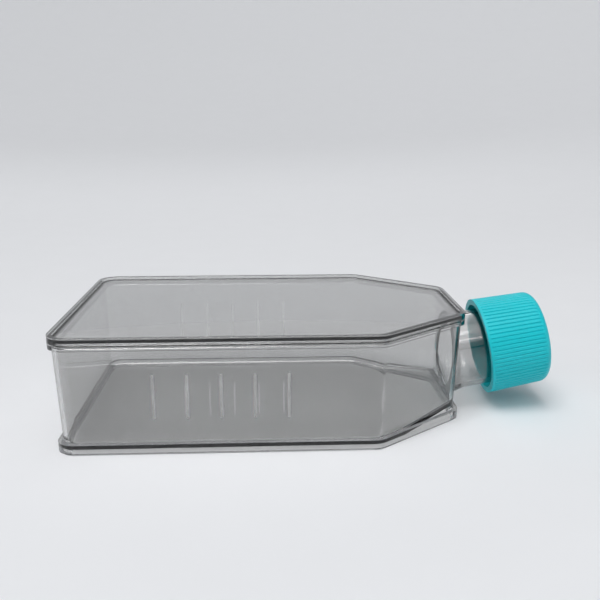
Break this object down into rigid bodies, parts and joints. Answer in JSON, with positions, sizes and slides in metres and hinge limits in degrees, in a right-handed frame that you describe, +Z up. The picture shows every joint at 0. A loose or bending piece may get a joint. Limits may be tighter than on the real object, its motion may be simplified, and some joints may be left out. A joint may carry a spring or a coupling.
{
  "type": "cell culture flask",
  "caption": "Clear flat culture flask lying on its growth floor, with a canted screw neck, a welded stacking cover and a ribbed teal vent cap.",
  "frame": {"origin": "middle of the overall footprint, on the plane that the foot stands on", "axes": "+X from the closed end towards the neck and cap, +Y across the flask, +Z up from the growth floor to the cover"},
  "size_m": [0.1642, 0.084, 0.0395],
  "materials": {
    "clear_polystyrene": "clear, polished",
    "teal_cap": "satin, finely ribbed",
    "membrane": "matt white filter",
    "seal": "soft matt"
  },
  "bodies": {
    "flask": {"flask_body": "clear_polystyrene", "top_cover": "clear_polystyrene"},
    "cap_insert": {"vent_membrane": "membrane", "seal_ring": "seal"},
    "cap": {"cap_shell": "teal_cap"}
  },
  "joints": [
    {"name": "cap_rise", "type": "slide", "parent": "flask", "child": "cap_insert", "axis": [0.9848, 0, 0.1736], "range_m": [0, 0.024]},
    {"name": "cap_turn", "type": "hinge", "parent": "cap_insert", "child": "cap", "pos_m": [0.04897, 0, 0.01865], "axis": [0.9848, 0, 0.1736], "range_deg": [0, 1080]}
  ],
  "couplings": [
    {"joint": "cap_rise", "follows": "cap_turn", "m_per_rad": 0.0012732}
  ]
}
